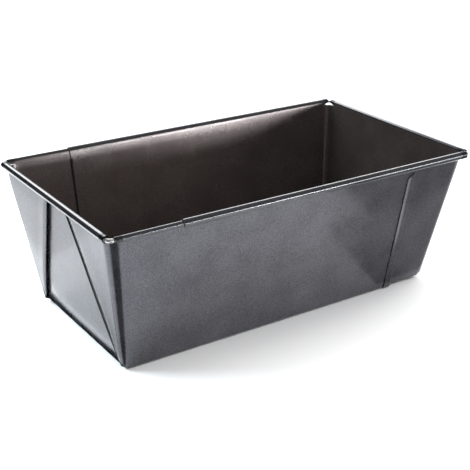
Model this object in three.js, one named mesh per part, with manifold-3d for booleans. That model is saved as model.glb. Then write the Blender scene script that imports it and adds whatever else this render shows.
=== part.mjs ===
// Adjustable loaf pan: two folded sheet-metal halves, nested one in the other, that slide along X.
// Millimetres, +Z up. The outer half closes the pan at -X and the inner half closes it at +X.

import * as THREE from 'three';
import { mergeVertices } from 'three/addons/utils/BufferGeometryUtils.js';
import Module from 'manifold-3d';

const wasm = await Module();
wasm.setup();

// Driving dimensions. The rim is measured between wire centres, the bottom between outer corners.
const RIM_LENGTH = 281.6;
const RIM_WIDTH = 155.2;
const RIM_RISE = 98.5;
const BOTTOM_LENGTH = 245.7;
const BOTTOM_WIDTH = 115.4;
const SHEET = 0.5;
const CORNER_RADIUS = 5;

// Wires, and the sheet curled round them
const WIRE_RADIUS = 1.3;
const WIRE_GAP = 0.15;
const FLAP_PACKING = 0.6;
const WIRE_BEND = 2.8;
const BARE_CORNER = 3.2;
const CORNER_DIP = 1.5;
const INNER_WIRE_TAIL = 16;
const OUTER_BEAD_SWEEP = 300;
const INNER_CURL_SWEEP = 245;
const END_BEAD_SWEEP = 275;

// Sliding fit, and where each half's open edge is
const RUN_GAP = 0.3;
const OUTER_FREE_EDGE = 93.7;
const INNER_FREE_EDGE = 92;

// Folded hem along the open edges
const HEM_WIDTH = 5.6;
const HEM_GAP = 0.4;
const HEM_TOP_DROP = 4.4;
const HEM_CHAMFER = 4.2;

// Corner flaps that lie folded on the end walls
const NEAR_FLAP = { tip: 16, thickness: 1.9 };
const FAR_FLAP = { tip: 6, thickness: 2.6 };
const FLAP_TOP_DROP = 2;

// Facets
const CORNER_SEGMENTS = 6;
const ROUND_STEPS_PER_TURN = 24;
const WIRE_CURVE_SEGMENTS = 7;
const WIRE_BEND_STEPS = 6;

// Worked out from the above
const HEM_THICKNESS = SHEET + HEM_GAP;
const FLOOR_Z = HEM_THICKNESS;
const RIM_Z = FLOOR_Z + RIM_RISE;
const NEST = SHEET + RUN_GAP;
const SIDE_SEAT = WIRE_RADIUS + WIRE_GAP;
const END_SEAT = WIRE_RADIUS + FLAP_PACKING;
const SIDE_LEAN = leanAngle((RIM_WIDTH - BOTTOM_WIDTH) / 2, SIDE_SEAT);
const END_LEAN = leanAngle((RIM_LENGTH - BOTTOM_LENGTH) / 2, END_SEAT);
const MARGIN = 20;
const UP = new THREE.Vector3(0, 0, 1);

// Angle from vertical of a wall whose foot is `run` inside the wire and whose face is `seat` from it.
function leanAngle(run, seat) {
  return Math.atan2(run, RIM_RISE) - Math.asin(seat / Math.hypot(run, RIM_RISE));
}

// ---- Solids ----

function toSolid(geometry) {
  const bare = geometry.index ? geometry.toNonIndexed() : geometry.clone();
  bare.deleteAttribute('normal');
  bare.deleteAttribute('uv');
  const merged = mergeVertices(bare, 1e-4);
  const vertProperties = new Float32Array(merged.attributes.position.array);
  const triVerts = new Uint32Array(merged.index.array);
  return new wasm.Manifold(new wasm.Mesh({ numProp: 3, vertProperties, triVerts }));
}

function toMesh(name, solid, material) {
  const { vertProperties, triVerts } = solid.getMesh();
  const geometry = new THREE.BufferGeometry();
  geometry.setAttribute('position', new THREE.BufferAttribute(vertProperties, 3));
  geometry.setIndex(new THREE.BufferAttribute(triVerts, 1));
  geometry.computeVertexNormals();
  const mesh = new THREE.Mesh(geometry, material);
  mesh.name = name;
  return mesh;
}

function block(low, high) {
  const size = new THREE.Vector3().subVectors(high, low);
  const geometry = new THREE.BoxGeometry(size.x, size.y, size.z);
  const centre = new THREE.Vector3().addVectors(low, high).multiplyScalar(0.5);
  geometry.translate(centre.x, centre.y, centre.z);
  return toSolid(geometry);
}

// Turns an extrusion so that its section's x points `outward`, its y points up, and it starts at `start`.
function stand(geometry, outward, start) {
  const along = new THREE.Vector3().crossVectors(outward, UP);
  const matrix = new THREE.Matrix4().makeBasis(outward, UP, along).setPosition(start);
  return geometry.applyMatrix4(matrix);
}

// ---- The leaning, open-ended trough that both halves are cut from ----

function halfWidthAt(z, inset) {
  const foot = BOTTOM_WIDTH / 2 - inset / Math.cos(SIDE_LEAN);
  return foot + (z - FLOOR_Z) * Math.tan(SIDE_LEAN);
}

function endWallAt(z, inset) {
  const foot = BOTTOM_LENGTH / 2 - inset / Math.cos(END_LEAN);
  return -foot - (z - FLOOR_Z) * Math.tan(END_LEAN);
}

// Plan outline with its two closed-end corners rounded and its open end square.
function troughOutline(left, right, halfWidth, radius) {
  const shape = new THREE.Shape();
  shape.moveTo(right, -halfWidth);
  shape.lineTo(left + radius, -halfWidth);
  shape.absarc(left + radius, -halfWidth + radius, radius, -Math.PI / 2, -Math.PI, true);
  shape.absarc(left + radius, halfWidth - radius, radius, Math.PI, Math.PI / 2, true);
  shape.lineTo(right, halfWidth);
  return shape;
}

// Everything inside a surface that lies `sideInset` and `endInset` within the outer half's outside.
function trough({ sideInset, endInset, base, top, right }) {
  const left = endWallAt(base, endInset);
  const halfWidth = halfWidthAt(base, sideInset);
  const radius = CORNER_RADIUS - sideInset;
  const outline = troughOutline(left, right, halfWidth, radius);
  const depth = top - base;
  const geometry = new THREE.ExtrudeGeometry(outline, {
    depth,
    bevelEnabled: false,
    curveSegments: CORNER_SEGMENTS,
  });
  const position = geometry.attributes.position;
  for (let i = 0; i < position.count; i += 1) {
    const rise = position.getZ(i);
    const x = position.getX(i);
    const y = position.getY(i);
    const endShift = x < right - radius ? rise * Math.tan(END_LEAN) : 0;
    position.setXYZ(i, x - endShift, y + Math.sign(y) * rise * Math.tan(SIDE_LEAN), base + rise);
  }
  return toSolid(geometry);
}

function foldedSheet({ inset, freeEdge, top }) {
  const base = FLOOR_Z + inset;
  const outside = trough({ sideInset: inset, endInset: 0, base, top, right: freeEdge });
  const inside = trough({
    sideInset: inset + SHEET,
    endInset: SHEET,
    base: base + SHEET,
    top: top + MARGIN,
    right: freeEdge + MARGIN,
  });
  return outside.subtract(inside);
}

// ---- Rim ----

// A strip of sheet curled over the top and round, starting where it is tangent to its wall.
function curl({ outward, start, length, inner, outer, lean, sweep }) {
  const overlap = THREE.MathUtils.degToRad(8);
  const from = Math.PI - lean + overlap;
  const to = Math.PI - lean - THREE.MathUtils.degToRad(sweep);
  const section = new THREE.Shape();
  section.absarc(0, 0, outer, from, to, true);
  section.absarc(0, 0, inner, to, from, false);
  const curveSegments = Math.round((ROUND_STEPS_PER_TURN * sweep) / 720);
  const geometry = new THREE.ExtrudeGeometry(section, {
    depth: length,
    bevelEnabled: false,
    curveSegments,
  });
  return toSolid(stand(geometry, outward, start));
}

function sideCurls({ inner, sweep, freeEdge }) {
  const bareEnd = -RIM_LENGTH / 2 + BARE_CORNER;
  const length = freeEdge - bareEnd;
  const common = { length, inner, outer: inner + SHEET, lean: SIDE_LEAN, sweep };
  const far = curl({
    ...common,
    outward: new THREE.Vector3(0, 1, 0),
    start: new THREE.Vector3(bareEnd, RIM_WIDTH / 2, RIM_Z),
  });
  const near = curl({
    ...common,
    outward: new THREE.Vector3(0, -1, 0),
    start: new THREE.Vector3(freeEdge, -RIM_WIDTH / 2, RIM_Z),
  });
  return far.add(near);
}

function endBead() {
  const halfLength = RIM_WIDTH / 2 - BARE_CORNER;
  return curl({
    outward: new THREE.Vector3(-1, 0, 0),
    start: new THREE.Vector3(-RIM_LENGTH / 2, -halfLength, RIM_Z),
    length: 2 * halfLength,
    inner: END_SEAT,
    outer: END_SEAT + SHEET,
    lean: END_LEAN,
    sweep: END_BEAD_SWEEP,
  });
}

// At each rim corner the sheet stops below the bare wire.
function cornerNotches() {
  const notch = (side) => {
    const y = side * (RIM_WIDTH / 2 - BARE_CORNER);
    const low = new THREE.Vector3(
      -RIM_LENGTH / 2 - MARGIN,
      Math.min(y, side * RIM_WIDTH),
      RIM_Z - CORNER_DIP,
    );
    const high = new THREE.Vector3(
      -RIM_LENGTH / 2 + BARE_CORNER,
      Math.max(y, side * RIM_WIDTH),
      RIM_Z + MARGIN,
    );
    return block(low, high);
  };
  return notch(-1).add(notch(1));
}

// ---- Hem: the open edge turned back on itself, with its top corner cut off at a slant ----

function hemBounds(freeEdge) {
  const inner = freeEdge - HEM_WIDTH;
  const top = RIM_Z - HEM_TOP_DROP;
  const profile = new THREE.Shape();
  profile.moveTo(inner, -MARGIN);
  profile.lineTo(freeEdge, -MARGIN);
  profile.lineTo(freeEdge, top);
  profile.lineTo(inner, top - HEM_CHAMFER);
  const geometry = new THREE.ExtrudeGeometry(profile, { depth: 2 * RIM_WIDTH, bevelEnabled: false });
  return toSolid(stand(geometry, new THREE.Vector3(1, 0, 0), new THREE.Vector3(0, RIM_WIDTH, 0)));
}

// The hem is the layer from `outerInset` to `innerInset`, half a sheet deep in the wall it belongs to.
function hem({ outerInset, innerInset, freeEdge }) {
  const outside = trough({
    sideInset: outerInset,
    endInset: 0,
    base: FLOOR_Z + outerInset,
    top: RIM_Z,
    right: freeEdge,
  });
  const inside = trough({
    sideInset: innerInset,
    endInset: 0,
    base: FLOOR_Z + innerInset,
    top: RIM_Z + MARGIN,
    right: freeEdge + MARGIN,
  });
  return outside.subtract(inside).intersect(hemBounds(freeEdge));
}

// ---- Corner flaps on the end wall ----

// A triangle from the bottom corner up to the rim, in the end wall's own plane, from `side` * y.
function flapPrism(side, { tip, thickness }) {
  const height = (RIM_RISE - FLAP_TOP_DROP) / Math.cos(END_LEAN);
  const outline = new THREE.Shape();
  outline.moveTo(side * (BOTTOM_WIDTH / 2), 0);
  outline.lineTo(side * tip, height);
  outline.lineTo(side * (RIM_WIDTH / 2 + MARGIN), height);
  outline.lineTo(side * (BOTTOM_WIDTH / 2 + MARGIN), 0);
  const overlap = SHEET / 2;
  const geometry = new THREE.ExtrudeGeometry(outline, {
    depth: thickness + overlap + MARGIN,
    bevelEnabled: false,
  });
  geometry.translate(0, 0, -overlap);
  const across = new THREE.Vector3(0, -1, 0);
  const upWall = new THREE.Vector3(-Math.sin(END_LEAN), 0, Math.cos(END_LEAN));
  const outward = new THREE.Vector3().crossVectors(across, upWall);
  const foot = new THREE.Vector3(-BOTTOM_LENGTH / 2, 0, FLOOR_Z);
  geometry.applyMatrix4(new THREE.Matrix4().makeBasis(across, upWall, outward).setPosition(foot));
  return toSolid(geometry);
}

// The flap, rounded off at the vertical corner as the long wall's sheet turns on to it.
function flap(side, size, inset) {
  const base = FLOOR_Z + inset;
  const skin = { base, top: RIM_Z, right: 0 };
  const hull = trough({ ...skin, sideInset: inset, endInset: -size.thickness });
  const hollow = trough({ ...skin, sideInset: inset + SHEET / 2, endInset: SHEET / 2 });
  return flapPrism(side, size).intersect(hull).subtract(hollow);
}

// ---- One half: sheet, curled rim, hem and flaps, all bent from one piece ----

function panHalf({ inset, freeEdge, seat, sweep, hemLayer }) {
  const top = RIM_Z + seat * Math.sin(SIDE_LEAN);
  return foldedSheet({ inset, freeEdge, top })
    .add(flap(1, NEAR_FLAP, inset))
    .add(flap(-1, FAR_FLAP, inset))
    .subtract(cornerNotches())
    .add(sideCurls({ inner: seat, sweep, freeEdge }))
    .add(endBead())
    .add(hem({ ...hemLayer, freeEdge }));
}

// ---- Rim wires ----

// A path through given points, one extrusion step to each, so that straight runs take one step.
class StepPath extends THREE.Curve {
  constructor(points) {
    super();
    this.points = points;
  }

  getUtoTmapping(u) {
    return u;
  }

  getPoint(t, target = new THREE.Vector3()) {
    const last = this.points.length - 1;
    const place = THREE.MathUtils.clamp(t, 0, 1) * last;
    const index = Math.min(Math.floor(place), last - 1);
    return target.lerpVectors(this.points[index], this.points[index + 1], place - index);
  }
}

// A U of round wire along the end rim, with arms that run to x = `armEnd`.
function rimWire(armEnd) {
  const centre = new THREE.Vector2(-RIM_LENGTH / 2 + WIRE_BEND, RIM_WIDTH / 2 - WIRE_BEND);
  const points = [new THREE.Vector3(armEnd, -RIM_WIDTH / 2, RIM_Z)];
  for (const [side, start] of [[-1, -Math.PI / 2], [1, Math.PI]]) {
    for (let i = 0; i <= WIRE_BEND_STEPS; i += 1) {
      const angle = start - (i / WIRE_BEND_STEPS) * (Math.PI / 2);
      const x = centre.x + WIRE_BEND * Math.cos(angle);
      const y = side * centre.y + WIRE_BEND * Math.sin(angle);
      points.push(new THREE.Vector3(x, y, RIM_Z));
    }
  }
  points.push(new THREE.Vector3(armEnd, RIM_WIDTH / 2, RIM_Z));
  const section = new THREE.Shape().absarc(0, 0, WIRE_RADIUS, 0, 2 * Math.PI, false);
  const geometry = new THREE.ExtrudeGeometry(section, {
    extrudePath: new StepPath(points),
    steps: points.length - 1,
    curveSegments: WIRE_CURVE_SEGMENTS,
    bevelEnabled: false,
  });
  return toSolid(geometry);
}

// ---- Assembly ----

const lacquer = new THREE.MeshStandardMaterial({ color: 0x5b5a62, metalness: 0.6, roughness: 0.35 });
const steel = new THREE.MeshStandardMaterial({ color: 0xc9c9cc, metalness: 1, roughness: 0.25 });

const outerHalf = new THREE.Group();
outerHalf.add(
  toMesh(
    'outer_pan',
    panHalf({
      inset: 0,
      freeEdge: OUTER_FREE_EDGE,
      seat: SIDE_SEAT,
      sweep: OUTER_BEAD_SWEEP,
      hemLayer: { outerInset: -HEM_THICKNESS, innerInset: SHEET / 2 },
    }),
    lacquer,
  ),
  toMesh('outer_rim_wire', rimWire(OUTER_FREE_EDGE - RUN_GAP), steel),
);

const innerHalf = new THREE.Group();
innerHalf.rotation.z = Math.PI;
innerHalf.add(
  toMesh(
    'inner_pan',
    panHalf({
      inset: NEST,
      freeEdge: INNER_FREE_EDGE,
      seat: SIDE_SEAT + NEST,
      sweep: INNER_CURL_SWEEP,
      hemLayer: { outerInset: NEST + SHEET / 2, innerInset: NEST + SHEET + HEM_THICKNESS },
    }),
    lacquer,
  ),
  toMesh('inner_rim_wire', rimWire(-RIM_LENGTH / 2 + INNER_WIRE_TAIL), steel),
);

const group = new THREE.Group();
group.add(outerHalf, innerHalf);

export default group;
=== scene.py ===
"""An adjustable loaf pan: two folded sheet-metal halves that slide one in the other.

The sheets are lofted here with their real thickness: floor, walls, curled rims, hems and corner
flaps are one skin each. It isn't quite closed: slivers are open at the bottom corners, and a slit is
in the inner half's floor. The rim wires are swept rods, and they are closed. The object and the
camera's place are in millimetres. The floor, the cards and the lights are in metres.
"""

import math

import bmesh
import bpy
from mathutils import Matrix, Vector, noise


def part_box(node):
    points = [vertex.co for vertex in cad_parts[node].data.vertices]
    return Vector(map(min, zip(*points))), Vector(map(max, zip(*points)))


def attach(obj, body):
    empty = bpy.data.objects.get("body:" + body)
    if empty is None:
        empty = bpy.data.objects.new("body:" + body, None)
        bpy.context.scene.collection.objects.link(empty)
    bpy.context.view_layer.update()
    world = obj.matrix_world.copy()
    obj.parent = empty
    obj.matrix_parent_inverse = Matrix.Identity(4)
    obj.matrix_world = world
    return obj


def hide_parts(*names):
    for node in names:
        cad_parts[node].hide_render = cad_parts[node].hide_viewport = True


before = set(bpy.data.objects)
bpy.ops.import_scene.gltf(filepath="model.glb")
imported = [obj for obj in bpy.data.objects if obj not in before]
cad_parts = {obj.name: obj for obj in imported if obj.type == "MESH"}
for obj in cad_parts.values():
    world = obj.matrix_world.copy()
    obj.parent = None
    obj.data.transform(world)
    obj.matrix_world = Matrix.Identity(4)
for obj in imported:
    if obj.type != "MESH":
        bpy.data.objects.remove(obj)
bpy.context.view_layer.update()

MM = 0.001

# Sheet, wire and fit, as in the CAD
SHEET = 0.5
WIRE_RADIUS = 1.3
RUN_GAP = 0.3
NEST = SHEET + RUN_GAP
SIDE_SEAT = 1.45
END_SEAT = 1.9
BOTTOM_LENGTH = 245.7
BOTTOM_WIDTH = 115.4
HEM_THICKNESS = 0.9
HEM_WIDTH = 5.6
HEM_TOP_DROP = 4.4
HEM_CHAMFER = 4.2
WIRE_BEND = 2.8
BARE_CORNER = 3.2
FLOOR_Z = HEM_THICKNESS

# The rim and the two free edges, from the frame
outer_low, outer_high = (Vector(c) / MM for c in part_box("outer_pan"))
inner_low = Vector(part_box("inner_pan")[0]) / MM
RIM_LENGTH = 2 * (-outer_low.x - END_SEAT - SHEET)
RIM_WIDTH = 2 * (outer_high.y - SIDE_SEAT - SHEET)
RIM_Z = outer_high.z - END_SEAT - SHEET
OUTER_FREE_EDGE = outer_high.x
INNER_FREE_EDGE = -inner_low.x

# Radii of the bends, and how many degrees each rim curls round its wire
FLOOR_BEND = 1.2
CORNER_AT_FOOT = 2.2
CORNER_AT_RIM = 6.5
OUTER_SWEEP = 300
INNER_SWEEP = 245
END_SWEEP = 250

# The end wall's swell: its size on each half, the height of its crease and the softness of that
OUTER_SWELL = 1.4
INNER_SWELL = 0.3
CREASE_HEIGHT = 6.8
CREASE_SOFTNESS = 0.2

# The walls' slight waves: height, length along and up, and where they die away at foot and rim
WAVE = 0.08
WAVE_ALONG = 34
WAVE_UP = 48
WAVE_FOOT_SHARE = 0.12
WAVE_RIM_SHARE = 0.06
END_WAVES_FROM = 118
END_WAVES_OVER = 12

# Corner flaps: pressed flat at the foot, held to FLAP_AT_RIM under the rim, hollow behind the fold
FLAP_FOOT_RISE = 2.0
FLAP_RIM_CLEAR = 1.0
FLAP_RIM_FADE = 12.0
FLAP_AT_RIM = 1.9
SLOT_DEPTH = 8.0
SLOT_SHARE = 0.75
NOSE_SHARE = 0.45
FOLD_GROWTH = 0.06
LEAST_FOLD = 0.01
TUCK = 0.4
BUNCH_SHARE = 0.02

# Painted shade: near-black laid into the lacquer behind the near flap's fold, where the crease's shade
# falls
CREASE_SHADE = "crease_shade"
SHADE_REACH = 17.0
SHADE_AT_FOOT = 1.5
SHADE_WIDENS_OVER = 0.35
SHADE_TAPER = 0.35
SHADE_TAPER_FROM = 0.5
SHADE_TAPER_OVER = 0.4
SHADE_LAP = 0.3
SHADE_FALLOFF = 1.6
SHADE_COLOUR = (0.006, 0.006, 0.006, 1)

# Painted highlight: a lighter grey laid along the outer hem's loose edge, fading out downward
HEM_SHEEN = "hem_sheen"
SHEEN_WIDTH = 2.4
SHEEN_FULL_SHARE = 0.3
SHEEN_FROM = 25
SHEEN_OVER = 30
SHEEN_LAP = 0.2
SHEEN_COLOUR = (0.33, 0.33, 0.36, 1)

# Mesh stations and tolerance
HEM_STEPS = 8
FOLD_STEPS = 10
WALL_STEPS = 44
CORNER_STEPS = 12
MIDDLE_STEPS = 16
ARM_STEPS = 40
BEND_STEPS = 14
END_STEPS = 24
WIRE_SIDES = 24
WIRE_END_ROUND = 0.25
SAME_POINT = 1e-4

# Material indices, in the order of SHEET_LOOKS
LINED, LACQUERED, CUT, CURLED = range(4)


def lean_angle(run, seat):
    """Angle from vertical of a wall: its foot is `run` inside its wire, and its face `seat` from it."""
    rise = RIM_Z - FLOOR_Z
    return math.atan2(run, rise) - math.asin(seat / math.hypot(run, rise))


SIDE_LEAN = lean_angle((RIM_WIDTH - BOTTOM_WIDTH) / 2, SIDE_SEAT)
END_LEAN = lean_angle((RIM_LENGTH - BOTTOM_LENGTH) / 2, END_SEAT)


def lerp(a, b, t):
    return a + (b - a) * t


def smooth(t):
    t = min(max(t, 0.0), 1.0)
    return t * t * (3 - 2 * t)


def steps(a, b, n):
    """n + 1 even stations from a to b."""
    return [lerp(a, b, i / n) for i in range(n + 1)]


def height_share(z):
    """0 at the floor's level and 1 at the wires'."""
    return (z - FLOOR_Z) / (RIM_Z - FLOOR_Z)


# ---------------------------------------------------------------- the profile up one wall


class WallProfile:
    """The section through floor, bottom bend, wall and curled rim, outward along one direction.

    Depth d is measured into the pan from the half's own outer face: 0 outside, SHEET inside.
    """

    def __init__(self, foot, rim, lean, seat, inset, face_inset, sweep):
        self.foot, self.rim, self.lean, self.seat = foot, rim, lean, seat
        self.inset, self.face_inset, self.sweep = inset, face_inset, math.radians(sweep)

    def line(self, z, d=0.0):
        """Half-extent of the wall's face at height z."""
        face = (self.face_inset + d) / math.cos(self.lean)
        return self.foot - face + (z - FLOOR_Z) * math.tan(self.lean)

    def bend(self, t, d):
        """Point at fraction t round the bottom bend."""
        radius = FLOOR_BEND - d
        floor = FLOOR_Z + self.inset + d
        turn = t * (math.pi / 2 - self.lean)
        tangent = radius * math.tan((math.pi / 2 - self.lean) / 2)
        out = self.line(floor, d) - tangent + radius * math.sin(turn)
        return out, floor + radius * (1 - math.cos(turn))

    def wall(self, t, d):
        """Point at fraction t up the wall, from the bend to where the rim's curl starts."""
        out0, z0 = self.bend(1, d)
        out1, z1 = self.curl(0, d)
        return lerp(out0, out1, t), lerp(z0, z1, t)

    def curl(self, t, d):
        """Point at fraction t round the curled rim, over the top and outward."""
        angle = math.pi - self.lean - t * self.sweep
        radius = self.seat + d
        return self.rim + radius * math.cos(angle), RIM_Z + radius * math.sin(angle)


# ---------------------------------------------------------------- rows, from floor to lip

FLOOR_ROWS = [("floor", t) for t in (0.0, 0.3, 0.6, 0.85)]
BEND_ROWS = [("bend", t) for t in steps(0, 1, 6)]
HEM_TOP_ROW = ("wall", 0.946)
NOTCH_ROW = ("wall", 0.982)
WALL_ROWS = (
    [("wall", t) for t in (0.012, 0.03, 0.045, 0.06, 0.08)]
    + [("wall", t) for t in steps(0.11, 0.93, 22)]
    + [HEM_TOP_ROW, ("wall", 0.968), NOTCH_ROW, ("wall", 1.0)]
)
CURL_ROWS = [("curl", t) for t in steps(0, 1, 34)[1:]]
ROWS = FLOOR_ROWS + BEND_ROWS + WALL_ROWS + CURL_ROWS
HEM_TOP = ROWS.index(HEM_TOP_ROW)
NOTCH = ROWS.index(NOTCH_ROW)
LIP = len(ROWS) - 1


def profile_point(profile, row, d):
    """Where a row of the section lies: (out, z)."""
    kind, t = ROWS[row]
    if kind == "floor":
        return profile.bend(0, d)
    return getattr(profile, kind)(t, d)


# ---------------------------------------------------------------- the end walls' corner flaps

# Stations across a flap, closer together near its fold, round the fold, and under it
FLAP_STEPS = 30
FLAP_CROWDING = 2.2
NOSE_STEPS = 8
UNDER_POINTS = 5
FLAP_RUN = [1 - (1 - t) ** FLAP_CROWDING for t in steps(0, 1, FLAP_STEPS)[:-1]]
NOSE_RUN = steps(0, 1, NOSE_STEPS)

# Sections of the two folds: sizes, and where behind the fold each part starts and how far it runs
NIP_DEPTH = 0.6
NIP_FROM = 0.5
NIP_OVER = 1.1
FILL_FROM = 1.6
FILL_OVER = 8
PINCHED_CROWN = 0.5
PINCHED_CROWN_FROM = 1.5
PINCHED_CROWN_OVER = 8
PINCHED_FALL_FROM = 10
PINCHED_FALL_OVER = 22
ROLLED_CROWN = 0.3
ROLLED_FALL_FROM = 2
ROLLED_FALL_OVER = 9
ROLL_OVER = 2.6


def pinched_edge(back, edge_off, off, nip, swell):
    """Stand-off at `back` behind a fold that is nipped tight there and fills out again further in."""
    valley = NIP_DEPTH * (1 - smooth((back - NIP_FROM) / NIP_OVER))
    crown = PINCHED_CROWN * smooth((back - PINCHED_CROWN_FROM) / PINCHED_CROWN_OVER)
    crown *= 1 - smooth((back - PINCHED_FALL_FROM) / PINCHED_FALL_OVER)
    rise = smooth((back - FILL_FROM) / FILL_OVER)
    return lerp(edge_off - NIP_DEPTH * nip, off, rise) + valley * nip + crown * swell


def rolled_edge(back, edge_off, off, nip, swell):
    """Stand-off at `back` behind a full, softly rolled fold, which has no nip."""
    crown = ROLLED_CROWN * (1 - smooth((back - ROLLED_FALL_FROM) / ROLLED_FALL_OVER))
    rise = math.sin(math.pi / 2 * min(back / ROLL_OVER, 1.0))
    return lerp(edge_off, off + crown * swell, rise)


# By side: -1 near, 1 far. `tip` is the fold's distance from the centre line at the rim.
FLAPS = {
    -1: {"tip": 16.0, "thickness": 1.9, "nose": 0.5, "edge": 1.6, "section": pinched_edge},
    1: {"tip": 6.0, "thickness": 2.6, "nose": 0.5, "edge": 2.3, "section": rolled_edge},
}


def flap_tip(flap, z):
    """Distance of a flap's slanted fold from the pan's centre line at height z."""
    return lerp(BOTTOM_WIDTH / 2 - CORNER_AT_FOOT, flap["tip"], height_share(z))


# ---------------------------------------------------------------- one half of the pan


class Half:
    """Lofts one half with its closed end at -X; the inner half is turned about Z afterwards."""

    def __init__(self, inset, seat, sweep, free_edge, hem_outside, swell, seed):
        self.free_edge, self.hem_outside = free_edge, hem_outside
        self.swell, self.seed = swell, seed
        self.side = WallProfile(BOTTOM_WIDTH / 2, RIM_WIDTH / 2, SIDE_LEAN, seat, inset, inset, sweep)
        self.end = WallProfile(
            BOTTOM_LENGTH / 2, RIM_LENGTH / 2, END_LEAN, END_SEAT, inset, 0.0, END_SWEEP
        )

    def depth(self, face, fold=0.0):
        """Depth of a face after `fold` (0 to 1) of the half turn that makes the hem.

        Face 0 lines the pan and face 1 is outside.
        """
        flat = SHEET if face == 0 else 0.0
        if not fold:
            return flat
        centre = SHEET / 2 + (-1 if self.hem_outside else 1) * HEM_THICKNESS / 2
        return centre + (flat - centre) * math.cos(math.pi * fold)

    def corner_centre(self, z):
        """Centre (x, y) of the vertical corner's bend, as distances from the pan's middle."""
        radius = lerp(CORNER_AT_FOOT, CORNER_AT_RIM, height_share(z))
        return self.end.line(z) - radius, self.side.line(z) - radius

    def spine(self, x):
        """Where a floor row that starts at x ends, on the floor's centre line."""
        return max(x, -(BOTTOM_LENGTH - BOTTOM_WIDTH) / 2)

    def with_floor(self, point, row, x_spine):
        """Draws a floor row's point in toward the spine, and leaves other rows alone."""
        kind, t = ROWS[row]
        if kind != "floor":
            return point
        return Vector((lerp(x_spine, point.x, t), lerp(0.0, point.y, t), point.z))

    # -------- long walls and hems

    def long_wall(self, y_sign, t):
        """A column t of the way from the hem to the vertical corner. Above those two the rim runs on."""
        start = self.free_edge - (HEM_THICKNESS + SHEET) / 2

        def at(face, row):
            out, z = profile_point(self.side, row, self.depth(face))
            x = lerp(start, -self.corner_centre(min(z, RIM_Z))[0], t)
            if t == 0 and row > HEM_TOP:
                x = self.free_edge
            if t == 1 and row > NOTCH:
                x = BARE_CORNER - RIM_LENGTH / 2
            return self.with_floor(Vector((x, y_sign * out, z)), row, self.spine(x))

        return {"at": at, "top": LIP}

    def hem_fold(self, y_sign, fold):
        """A column on the half turn at the free edge."""
        reach = (HEM_THICKNESS + SHEET) / 2

        def at(face, row):
            d = self.depth(face, fold)
            outer_face = 0 if self.hem_outside else 1
            radius = reach if face == outer_face else reach - SHEET
            x = self.free_edge - reach + radius * math.sin(math.pi * fold)
            out, z = profile_point(self.side, row, d)
            return self.with_floor(Vector((x, y_sign * out, z)), row, x)

        return {"at": at, "top": HEM_TOP}

    def hem_return(self, y_sign, back):
        """A column on the turned-back strip; its top edge is cut off at a slant."""
        start = self.free_edge - (HEM_THICKNESS + SHEET) / 2
        x = lerp(start, self.free_edge - HEM_WIDTH, back)
        shorten = 1 - back * HEM_CHAMFER / (RIM_Z - HEM_TOP_DROP - FLOOR_Z)

        def at(face, row):
            kind, t = ROWS[row]
            d = self.depth(face, 1.0)
            if kind == "wall":
                out, z = self.side.wall(t * shorten, d)
            else:
                out, z = profile_point(self.side, row, d)
            return self.with_floor(Vector((x, y_sign * out, z)), row, x)

        return {"at": at, "top": HEM_TOP, "turned": True}

    # -------- corners and end wall

    def stand_off(self, flap, z):
        """How far a flap's outer face stands off the end wall."""
        foot = smooth((z - FLOOR_Z) / FLAP_FOOT_RISE)
        rim = smooth((RIM_Z - FLAP_RIM_CLEAR - z) / FLAP_RIM_FADE)
        return foot * lerp(min(flap["thickness"], FLAP_AT_RIM), flap["thickness"], rim)

    def corner(self, y_sign, t):
        """A column t of the way round a vertical corner, from the long wall to the end wall."""
        flap = FLAPS[y_sign]
        angle = t * math.pi / 2

        def at(face, row):
            d = self.depth(face)
            out_side, z_side = profile_point(self.side, row, d)
            out_end, z_end = profile_point(self.end, row, d)
            z = lerp(z_side, z_end, t)
            cx, cy = self.corner_centre(z)
            rise = self.stand_off(flap, z) if face == 1 and ROWS[row][0] == "wall" else 0.0
            x = -(cx + (out_end - cx + rise) * math.sin(angle))
            y = y_sign * (cy + (out_side - cy) * math.cos(angle))
            return self.with_floor(Vector((x, y, z)), row, self.spine(-BOTTOM_LENGTH))

        return {"at": at, "top": NOTCH if 0 < t < 1 else LIP}

    def bulge(self, y, z):
        """The end wall's slight swell: greatest at a crease above the foot, and dying away upward."""
        across = 1 - min(abs(y) / self.side.line(z), 1.0) ** 3
        height = (z - FLOOR_Z) / CREASE_HEIGHT
        foot = min(height, 1.0)
        if abs(height - 1) <= CREASE_SOFTNESS:
            foot = 1 - (1 + CREASE_SOFTNESS - height) ** 2 / (4 * CREASE_SOFTNESS)
        fade = 1 - smooth(height_share(z))
        return self.swell * across * max(foot, 0.0) * fade

    def flap_outline(self, flap, z):
        """Points (along, off) of the end wall's outer outline on one flap's side, corner to middle.

        `along` is the distance from the pan's centre line and `off` the stand-off from the wall.
        """
        edge = self.corner_centre(z)[1]
        tip = flap_tip(flap, z)
        width = max(edge - tip, 0.0)
        off = self.stand_off(flap, z)
        edge_off = min(flap["edge"], off)
        nose = min(flap["nose"], NOSE_SHARE * edge_off, NOSE_SHARE * width)
        slot = min(SLOT_DEPTH, SLOT_SHARE * width)
        scale = max(min(1.0, FOLD_GROWTH * width), LEAST_FOLD)
        nip = scale * min(off, 1.0)
        points = []
        for t in FLAP_RUN:
            along = lerp(edge, tip + nose, t)
            back = (along - tip - nose) / scale
            points.append((along, flap["section"](back, edge_off, off, nip, nip * smooth(2 * t))))
        for t in NOSE_RUN:
            angle = math.pi * t
            points.append(
                (tip + nose - nose * math.sin(angle), edge_off - nose + nose * math.cos(angle))
            )
        under = max(edge_off - 2 * nose, 0.0)
        points.append((tip + slot * 0.5, under))
        points.append((tip + slot, under))
        points.append((tip + slot, 0.0))
        points.append((tip + slot * 0.5, 0.0))
        points.append((tip - TUCK * min(off, 1.0), 0.0))
        return points

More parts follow.
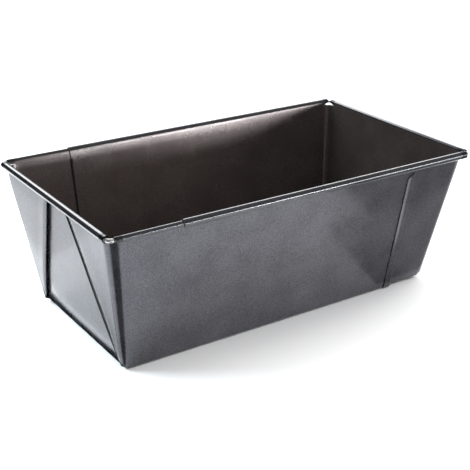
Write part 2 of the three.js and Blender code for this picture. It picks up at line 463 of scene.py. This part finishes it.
    def lining_run(self, flap, row, z):
        """Distances from the centre line for face 0, one for each point of flap_outline."""
        edge = self.corner_centre(z)[1] if row <= NOTCH else RIM_WIDTH / 2 - BARE_CORNER
        tip = flap_tip(flap, z)
        bunch = BUNCH_SHARE * (edge - tip)
        run = [lerp(edge, tip + bunch, t) for t in FLAP_RUN]
        rest = len(NOSE_RUN) + UNDER_POINTS
        return run + [lerp(tip + bunch, tip - bunch, (i + 1) / rest) for i in range(rest)]

    def end_column(self, locate):
        """A column on the end wall. locate(row, z, flapped) gives its y and its stand-off."""

        def at(face, row):
            d = self.depth(face)
            kind = ROWS[row][0]
            out, z = profile_point(self.end, row, d)
            flapped = face == 1 and kind == "wall" and row <= NOTCH
            y, off = locate(row, min(z, RIM_Z), flapped)
            if kind == "wall":
                out += self.bulge(y, z)
            if not flapped:
                off = 0.0
            return self.with_floor(Vector((-out - off, y, z)), row, self.spine(-BOTTOM_LENGTH))

        return {"at": at, "top": LIP}

    def flap_columns(self, y_sign):
        """The stretch of end wall under and over one flap, from the corner inward."""
        flap = FLAPS[y_sign]
        count = len(FLAP_RUN) + len(NOSE_RUN) + UNDER_POINTS

        def column(i):
            def locate(row, z, flapped):
                if flapped:
                    along, off = self.flap_outline(flap, z)[i]
                    return y_sign * along, off
                return y_sign * self.lining_run(flap, row, z)[i], 0.0

            return self.end_column(locate)

        return [column(i) for i in range(count)]

    def middle_columns(self):
        """The stretch of end wall between the two flaps."""

        def column(t):
            def locate(row, z, flapped):
                if flapped:
                    near = -self.flap_outline(FLAPS[-1], z)[-1][0]
                    far = self.flap_outline(FLAPS[1], z)[-1][0]
                else:
                    near = -self.lining_run(FLAPS[-1], row, z)[-1]
                    far = self.lining_run(FLAPS[1], row, z)[-1]
                return lerp(near, far, t), 0.0

            return self.end_column(locate)

        return [column(t) for t in steps(0, 1, MIDDLE_STEPS)[1:-1]]

    def waviness(self, place, row):
        """The walls are never quite flat: a smooth wander of up to WAVE."""
        kind, t = ROWS[row]
        if kind != "wall":
            return Vector((0, 0, 0))
        scaled = Vector((place.x / WAVE_ALONG, place.y / WAVE_ALONG, place.z / WAVE_UP))
        wander = noise.noise(scaled + Vector((self.seed, 0, 0)))
        strength = WAVE * smooth(t / WAVE_FOOT_SHARE) * smooth((1 - t) / WAVE_RIM_SHARE)
        share = 0.0
        if place.x < 0:
            share = min(max((abs(place.x) - END_WAVES_FROM) / END_WAVES_OVER, 0.0), 1.0)
        outward = Vector((-share, math.copysign(1 - share, place.y), 0))
        return outward * wander * strength

    # -------- assembly

    def side_columns(self, y_sign):
        """From the hem's loose edge round its fold, then along the long wall and round the corner."""
        columns = [self.hem_return(y_sign, t) for t in steps(1, 0, HEM_STEPS)[:-1]]
        columns += [self.hem_fold(y_sign, t) for t in steps(1, 0, FOLD_STEPS)[:-1]]
        columns += [self.long_wall(y_sign, t) for t in steps(0, 1, WALL_STEPS)]
        columns += [self.corner(y_sign, t) for t in steps(0, 1, CORNER_STEPS)]
        return columns

    def build(self, name):
        """The half's mesh object, closed end at -X."""
        near = self.side_columns(-1)
        far = self.side_columns(1)
        ends = self.flap_columns(-1) + self.middle_columns() + self.flap_columns(1)[::-1]
        columns = near + ends + far[::-1]
        bm = bmesh.new()
        grid = [[[], []] for _ in columns]
        for j, column in enumerate(columns):
            for face in (0, 1):
                for row in range(column["top"] + 1):
                    place = column["at"](face, row)
                    grid[j][face].append(bm.verts.new(place + self.waviness(place, row)))
        skin_faces(bm, columns, grid)
        bmesh.ops.remove_doubles(bm, verts=bm.verts, dist=SAME_POINT)
        bmesh.ops.recalc_face_normals(bm, faces=bm.faces)
        # painted shade behind the near flap's fold
        self.paint_crease_shade(bm)
        # painted highlight along the outer hem's loose edge
        self.paint_hem_sheen(bm)
        return finish_mesh(bm, name, sharp_angle=38)

    def paint_crease_shade(self, bm):
        """Marks the sheet behind the pinched fold for painted shade, which darkens the lacquer there."""
        crease_shade = bm.verts.layers.float.new(CREASE_SHADE)
        flap = FLAPS[-1]
        for v in bm.verts:
            z = v.co.z
            share = height_share(z)
            wall = self.end.line(z) + self.bulge(v.co.y, z)
            outside = -v.co.x > wall + SHADE_LAP and z < RIM_Z - END_SEAT
            back = -v.co.y - flap_tip(flap, z)
            taper = 1 - SHADE_TAPER * smooth((share - SHADE_TAPER_FROM) / SHADE_TAPER_OVER)
            reach = SHADE_REACH * smooth(share / SHADE_WIDENS_OVER) * taper + SHADE_AT_FOOT
            if outside and -SHADE_LAP < back < reach:
                v[crease_shade] = (1 - max(back, 0.0) / reach) ** SHADE_FALLOFF

    def paint_hem_sheen(self, bm):
        """Marks the outer hem's loose edge for a painted highlight, faded in above a given height."""
        hem_sheen = bm.verts.layers.float.new(HEM_SHEEN)
        if not self.hem_outside:
            return
        loose = self.free_edge - HEM_WIDTH
        for v in bm.verts:
            z = v.co.z
            outside = abs(v.co.y) > self.side.line(z) + SHEEN_LAP and z < RIM_Z - END_SEAT
            if outside and v.co.x > loose - SHEEN_LAP:
                along = (v.co.x - loose) / SHEEN_WIDTH
                v[hem_sheen] = (1 - smooth(along - SHEEN_FULL_SHARE)) * smooth((z - SHEEN_FROM) / SHEEN_OVER)


def quad(bm, corners, material):
    """A face, unless it has collapsed to nothing."""
    distinct = []
    for v in corners:
        if all((v.co - w.co).length > SAME_POINT for w in distinct):
            distinct.append(v)
    if len(distinct) > 2:
        bm.faces.new(distinct).material_index = material


def skin_faces(bm, columns, grid):
    """Both faces of the sheet, and the cut edges that close it."""

    def finish(j, face, row):
        """Material index: the curl's own, else lining or lacquer, which swap on a turned-back hem."""
        if ROWS[row][0] == "curl":
            return CURLED
        lined = (face == 0) != columns[j].get("turned", False)
        return LINED if lined else LACQUERED

    for j in range(len(columns) - 1):
        here, there = grid[j], grid[j + 1]
        top = min(columns[j]["top"], columns[j + 1]["top"])
        for row in range(top):
            for face in (0, 1):
                a, b = here[face], there[face]
                quad(bm, (a[row], b[row], b[row + 1], a[row + 1]), finish(j, face, row))
        quad(bm, (here[0][top], there[0][top], there[1][top], here[1][top]), CUT)
    spans = []
    for j, column in enumerate(columns):
        before = columns[j - 1]["top"] if j else 0
        after = columns[j + 1]["top"] if j + 1 < len(columns) else 0
        for neighbour in (before, after):
            if neighbour < column["top"]:
                spans.append((j, neighbour, column["top"]))
    for j, low, high in spans:
        for row in range(low, high):
            a, b = grid[j]
            quad(bm, (a[row], a[row + 1], b[row + 1], b[row]), CUT)


def finish_mesh(bm, name, sharp_angle):
    """Turns a millimetre bmesh into a linked object in metres, smooth below sharp_angle degrees."""
    bmesh.ops.scale(bm, vec=(MM, MM, MM), verts=bm.verts)
    mesh = bpy.data.meshes.new(name)
    bm.to_mesh(mesh)
    bm.free()
    mesh.shade_smooth()
    mesh.set_sharp_from_angle(angle=math.radians(sharp_angle))
    obj = bpy.data.objects.new(name, mesh)
    bpy.context.scene.collection.objects.link(obj)
    return obj


# ---------------------------------------------------------------- rim wires


def rim_wire(name, arm_end, turned):
    """A round rod bent into a U, swept ring by ring, with its ends slightly rounded off."""
    turn = Matrix.Rotation(math.pi, 4, "Z") if turned else Matrix.Identity(4)
    cx, cy = -RIM_LENGTH / 2 + WIRE_BEND, RIM_WIDTH / 2 - WIRE_BEND
    path = [(x, -RIM_WIDTH / 2, 0.0) for x in steps(arm_end, cx, ARM_STEPS)]
    for y_sign, start in ((-1, -90), (1, 180)):
        for t in steps(0, 1, BEND_STEPS)[1:]:
            angle = math.radians(start - 90 * t)
            path.append(
                (cx + WIRE_BEND * math.cos(angle), y_sign * cy + WIRE_BEND * math.sin(angle), 0.0)
            )
        if y_sign < 0:
            path += [(-RIM_LENGTH / 2, y, 0.0) for y in steps(-cy, cy, END_STEPS)[1:]]
    path += [(x, RIM_WIDTH / 2, 0.0) for x in steps(cx, arm_end, ARM_STEPS)[1:]]
    path = [Vector(p) + Vector((0, 0, RIM_Z)) for p in path]
    bm = bmesh.new()
    rings = []
    for i, point in enumerate(path):
        ahead = path[min(i + 1, len(path) - 1)]
        behind = path[max(i - 1, 0)]
        along = (ahead - behind).normalized()
        across = along.cross(Vector((0, 0, 1)))
        ring = []
        for k in range(WIRE_SIDES):
            angle = 2 * math.pi * k / WIRE_SIDES
            offset = across * math.cos(angle) + Vector((0, 0, 1)) * math.sin(angle)
            ring.append(bm.verts.new(turn @ (point + WIRE_RADIUS * offset)))
        rings.append(ring)
    for a, b in zip(rings, rings[1:]):
        for k in range(WIRE_SIDES):
            n = (k + 1) % WIRE_SIDES
            bm.faces.new((a[k], a[n], b[n], b[k]))
    caps = [bm.faces.new(rings[0]), bm.faces.new(rings[-1])]
    rim = [e for f in caps for e in f.edges]
    bmesh.ops.bevel(bm, geom=rim, offset=WIRE_END_ROUND, segments=2, affect="EDGES")
    bmesh.ops.recalc_face_normals(bm, faces=bm.faces)
    return finish_mesh(bm, name, sharp_angle=50)


# ---------------------------------------------------------------- materials


MOTTLE_SHARE = 0.25
ROUGHNESS_SPREAD = 0.05
STEEL_METALLIC = 0.88


def new_material(name):
    material = bpy.data.materials.new(name)
    material.use_nodes = True
    tree = material.node_tree
    return material, tree, tree.nodes["Principled BSDF"]


def node(tree, kind, **inputs):
    made = tree.nodes.new(kind)
    for key, value in inputs.items():
        made.inputs[key].default_value = value
    return made


def marked(tree, mark, base, colour):
    """Lays `colour` over the socket `base` where the mesh's layer `mark` says. Returns layer and result.

    A colour Mix node takes its factor at input 0 and its colours at 6 and 7, and gives output 2.
    """
    layer = tree.nodes.new("ShaderNodeAttribute")
    layer.attribute_name = mark
    mix = tree.nodes.new("ShaderNodeMix")
    mix.data_type = "RGBA"
    mix.inputs[7].default_value = colour
    tree.links.new(layer.outputs["Fac"], mix.inputs[0])
    tree.links.new(base, mix.inputs[6])
    return layer, mix.outputs[2]


def coating(name, dark, light, metallic, roughness, flake, coat):
    """Baked-on lacquer with fine metal flakes and a faint mottle. Painted shade behind the near flap's
    fold takes its gloss away, and a painted highlight lightens the outer hem's loose edge.
    """
    material, tree, shader = new_material(name)
    link = tree.links.new
    place = tree.nodes.new("ShaderNodeTexCoord")
    flakes = node(tree, "ShaderNodeTexNoise", Scale=1400.0, Detail=2.0, Roughness=0.7)
    mottle = node(tree, "ShaderNodeTexNoise", Scale=45.0, Detail=3.0, Roughness=0.5)
    link(place.outputs["Object"], flakes.inputs["Vector"])
    link(place.outputs["Object"], mottle.inputs["Vector"])
    mixed = tree.nodes.new("ShaderNodeMix")
    mixed.data_type = "FLOAT"
    mixed.inputs[0].default_value = MOTTLE_SHARE
    link(flakes.outputs["Fac"], mixed.inputs[2])
    link(mottle.outputs["Fac"], mixed.inputs[3])
    ramp = tree.nodes.new("ShaderNodeValToRGB")
    ramp.color_ramp.elements[0].position = 0.36
    ramp.color_ramp.elements[0].color = (*dark, 1)
    ramp.color_ramp.elements[1].position = 0.66
    ramp.color_ramp.elements[1].color = (*light, 1)
    link(mixed.outputs[0], ramp.inputs["Fac"])
    # painted shade: near-black laid over the lacquer's colour behind the near flap's fold
    crease_shade, shade_painted = marked(tree, CREASE_SHADE, ramp.outputs["Color"], SHADE_COLOUR)
    # painted highlight: a lighter grey laid over it along the outer hem's loose edge
    _, sheen_painted = marked(tree, HEM_SHEEN, shade_painted, SHEEN_COLOUR)
    link(sheen_painted, shader.inputs["Base Color"])
    rough = tree.nodes.new("ShaderNodeMapRange")
    rough.inputs["From Min"].default_value = 0.3
    rough.inputs["From Max"].default_value = 0.7
    rough.inputs["To Min"].default_value = roughness - ROUGHNESS_SPREAD
    rough.inputs["To Max"].default_value = roughness + ROUGHNESS_SPREAD
    link(mottle.outputs["Fac"], rough.inputs["Value"])
    link(rough.outputs["Result"], shader.inputs["Roughness"])
    bump = node(tree, "ShaderNodeBump", Strength=flake, Distance=0.00004)
    link(flakes.outputs["Fac"], bump.inputs["Height"])
    link(bump.outputs["Normal"], shader.inputs["Normal"])
    # where the painted shade lies, coat and specular gloss are taken away as well
    for socket, full in (("Coat Weight", coat), ("Specular IOR Level", 0.5)):
        gloss_in_shade = tree.nodes.new("ShaderNodeMapRange")
        gloss_in_shade.inputs["To Min"].default_value = full
        gloss_in_shade.inputs["To Max"].default_value = 0.0
        link(crease_shade.outputs["Fac"], gloss_in_shade.inputs["Value"])
        link(gloss_in_shade.outputs["Result"], shader.inputs[socket])
    shader.inputs["Metallic"].default_value = metallic
    shader.inputs["Coat Roughness"].default_value = 0.12
    return material


def steel(name, colour, roughness):
    """Drawn bright steel."""
    material, tree, shader = new_material(name)
    link = tree.links.new
    place = tree.nodes.new("ShaderNodeTexCoord")
    grain = node(tree, "ShaderNodeTexNoise", Scale=2500.0, Detail=2.0, Roughness=0.6)
    link(place.outputs["Object"], grain.inputs["Vector"])
    ramp = tree.nodes.new("ShaderNodeValToRGB")
    ramp.color_ramp.elements[0].color = (*[c * 0.8 for c in colour], 1)
    ramp.color_ramp.elements[1].color = (*colour, 1)
    link(grain.outputs["Fac"], ramp.inputs["Fac"])
    link(ramp.outputs["Color"], shader.inputs["Base Color"])
    rough = tree.nodes.new("ShaderNodeMapRange")
    rough.inputs["To Min"].default_value = roughness - 0.06
    rough.inputs["To Max"].default_value = roughness + 0.08
    link(grain.outputs["Fac"], rough.inputs["Value"])
    link(rough.outputs["Result"], shader.inputs["Roughness"])
    shader.inputs["Metallic"].default_value = STEEL_METALLIC
    return material


# ---------------------------------------------------------------- build the object

LINING = coating(
    "lining_nonstick",
    dark=(0.080, 0.064, 0.061),
    light=(0.150, 0.126, 0.119),
    metallic=0.76,
    roughness=0.27,
    flake=0.12,
    coat=0.3,
)
OUTSIDE = coating(
    "outside_lacquer",
    dark=(0.055, 0.054, 0.064),
    light=(0.150, 0.146, 0.165),
    metallic=0.8,
    roughness=0.29,
    flake=0.5,
    coat=0.35,
)
RIM = coating(
    "rim_lacquer",
    dark=(0.034, 0.033, 0.038),
    light=(0.100, 0.098, 0.108),
    metallic=0.8,
    roughness=0.15,
    flake=0.05,
    coat=1.0,
)
CUT_EDGE = steel("cut_edge", colour=(0.45, 0.44, 0.43), roughness=0.35)
WIRE = steel("bright_wire", colour=(0.85, 0.84, 0.83), roughness=0.3)
SHEET_LOOKS = (LINING, OUTSIDE, CUT_EDGE, RIM)


def dress(obj, body, replaced, materials):
    """Gives a piece its materials, and says what it rides on; hides the CAD node that it stands for."""
    for material in materials:
        obj.data.materials.append(material)
    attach(obj, body)
    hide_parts(replaced)


outer = Half(
    0.0, SIDE_SEAT, OUTER_SWEEP, OUTER_FREE_EDGE, hem_outside=True, swell=OUTER_SWELL, seed=3
).build("outer_sheet")
inner = Half(
    NEST,
    SIDE_SEAT + NEST,
    INNER_SWEEP,
    INNER_FREE_EDGE,
    hem_outside=False,
    swell=INNER_SWELL,
    seed=8,
).build("inner_sheet")
inner.data.transform(Matrix.Rotation(math.pi, 4, "Z"))
outer_wire_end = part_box("outer_rim_wire")[1][0] / MM
inner_wire_end = -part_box("inner_rim_wire")[0][0] / MM
outer_wire = rim_wire("outer_wire", outer_wire_end, turned=False)
inner_wire = rim_wire("inner_wire", inner_wire_end, turned=True)

dress(outer, "outer_half", "outer_pan", SHEET_LOOKS)
dress(inner, "inner_half", "inner_pan", SHEET_LOOKS)
dress(outer_wire, "outer_half", "outer_rim_wire", (WIRE,))
dress(inner_wire, "inner_half", "inner_rim_wire", (WIRE,))


# ---------------------------------------------------------------- camera, floor and light

# From the camera fit, in millimetres and degrees
CAMERA_PLACE = (-375.0, -552.1, 332.6)
CAMERA_YAW = 33.96
CAMERA_PITCH = 23.53
CAMERA_ROLL = 0.53
LENS = 78.55
SENSOR_WIDTH = 36.0
FLOOR_REACH = 6.0
CARD_HEIGHT = 0.001
SKY = 0.24
COOL = (0.92, 0.96, 1.0)

camera = bpy.data.objects.new("camera", bpy.data.cameras.new("camera"))
bpy.context.scene.collection.objects.link(camera)
camera.data.lens = LENS
camera.data.sensor_width = SENSOR_WIDTH
camera.data.clip_start = 0.01
camera.data.clip_end = 50.0
camera.matrix_world = (
    Matrix.Translation(Vector(CAMERA_PLACE) * MM)
    @ Matrix.Rotation(math.radians(-CAMERA_YAW), 4, "Z")
    @ Matrix.Rotation(math.radians(90 - CAMERA_PITCH), 4, "X")
    @ Matrix.Rotation(math.radians(CAMERA_ROLL), 4, "Z")
)
bpy.context.scene.camera = camera
bpy.context.scene.view_settings.view_transform = "Standard"


def stage_plane(name, corners, material):
    """A flat sheet that belongs to the stage and not to the object."""
    mesh = bpy.data.meshes.new(name)
    mesh.from_pydata(corners, [], [tuple(range(len(corners)))])
    plane = bpy.data.objects.new(name, mesh)
    bpy.context.scene.collection.objects.link(plane)
    mesh.materials.append(material)
    return plane


def rectangle(x, y, z):
    """Corners of a level rectangle from its ranges of x and y."""
    return [(x[0], y[0], z), (x[1], y[0], z), (x[1], y[1], z), (x[0], y[1], z)]


def area_light(name, place, target, size, power, colour=(1, 1, 1), reflected=True):
    """A rectangular lamp aimed at `target`; unless `reflected`, glossy reflections don't show it."""
    light = bpy.data.lights.new(name, "AREA")
    light.shape = "RECTANGLE"
    light.size, light.size_y = size
    light.energy = power
    light.color = colour
    obj = bpy.data.objects.new(name, light)
    obj.location = place
    aim = Vector(target) - Vector(place)
    obj.rotation_euler = aim.to_track_quat("-Z", "Y").to_euler()
    obj.visible_glossy = reflected
    bpy.context.scene.collection.objects.link(obj)


floor_material, _, floor_shader = new_material("pale_floor")
floor_shader.inputs["Base Color"].default_value = (0.9, 0.9, 0.9, 1)
floor_shader.inputs["Roughness"].default_value = 0.9
floor_shader.inputs["Specular IOR Level"].default_value = 0.0
floor_range = (-FLOOR_REACH, FLOOR_REACH)
stage_plane("floor", rectangle(floor_range, floor_range, 0), floor_material)

world = bpy.data.worlds.new("studio")
bpy.context.scene.world = world
world.use_nodes = True
sky = world.node_tree.nodes["Background"]
sky.inputs["Color"].default_value = (1, 1, 1, 1)
sky.inputs["Strength"].default_value = SKY


def card(name, corners, shade=0.0, glow=0.0):
    """A dark or glowing card that only reflections see."""
    material, _, shader = new_material(name)
    shader.inputs["Base Color"].default_value = (shade, shade, shade, 1)
    shader.inputs["Specular IOR Level"].default_value = 0.0
    shader.inputs["Emission Color"].default_value = (0.9, 0.97, 1.0, 1)
    shader.inputs["Emission Strength"].default_value = glow
    plane = stage_plane(name, corners, material)
    plane.visible_camera = False
    plane.visible_diffuse = False
    plane.visible_shadow = False


def floor_card(name, x, y, shade=0.0, glow=0.0):
    """A card lying just above the floor."""
    card(name, rectangle(x, y, CARD_HEIGHT), shade, glow)


# A wall of shade to the left, and a wedge of it beside the near corner
card(
    "left_flag",
    [(-0.27, -0.3, 0), (-0.27, 0.9, 0), (-0.27, 0.9, 0.6), (-0.27, -0.3, 0.6)],
)
card(
    "corner_flag",
    [
        (-0.1235, -0.0585, CARD_HEIGHT),
        (-0.26, -0.14, CARD_HEIGHT),
        (-0.2, -0.24, CARD_HEIGHT),
        (-0.095, -0.23, CARD_HEIGHT),
    ],
)
# Two narrow cards by the end wall: their reflections are the dark band at its foot and the light line
floor_card("foot_flag", x=(-0.1284, -0.1225), y=(-0.058, 0.075))
floor_card("foot_glow", x=(-0.1318, -0.1294), y=(-0.058, 0.075), shade=0.9, glow=1.6)
# Grey cards that darken what the near wall and the far flap reflect of the floor
floor_card("right_flag", x=(0.085, 0.4), y=(-0.13, -0.062), shade=0.34)
floor_card("far_right_flag", x=(0.13, 0.4), y=(-0.4, -0.13), shade=0.15)
floor_card("far_left_flag", x=(-0.26, -0.15), y=(0.105, 0.35), shade=0.62)

area_light(
    "front_strip",
    place=(1.05, -1.1, 0.21),
    target=(0, 0, 0.1),
    size=(0.8, 0.14),
    power=5.6,
    colour=COOL,
)
area_light(
    "front_low",
    place=(0.68, -1.26, 0.15),
    target=(0, 0, 0.1),
    size=(0.42, 0.05),
    power=2.6,
    colour=COOL,
)
area_light(
    "back_strip",
    place=(0.2, 1.4, 1.05),
    target=(0, 0, 0.05),
    size=(3.0, 0.75),
    power=30,
    colour=(0.97, 0.99, 1.0),
)
area_light(
    "key",
    place=(-0.8, 0.5, 0.75),
    target=(-0.19, 0.03, 0.0),
    size=(0.6, 0.6),
    power=17,
    colour=(0.84, 0.95, 1.0),
    reflected=False,
)
area_light(
    "fill",
    place=(1.2, 0.3, 0.8),
    target=(0.1, 0, 0),
    size=(0.8, 0.8),
    power=12,
    reflected=False,
)
area_light(
    "top",
    place=(0.1, -0.4, 1.8),
    target=(0.0, -0.1, 0.0),
    size=(2.4, 2.4),
    power=42,
    reflected=False,
)
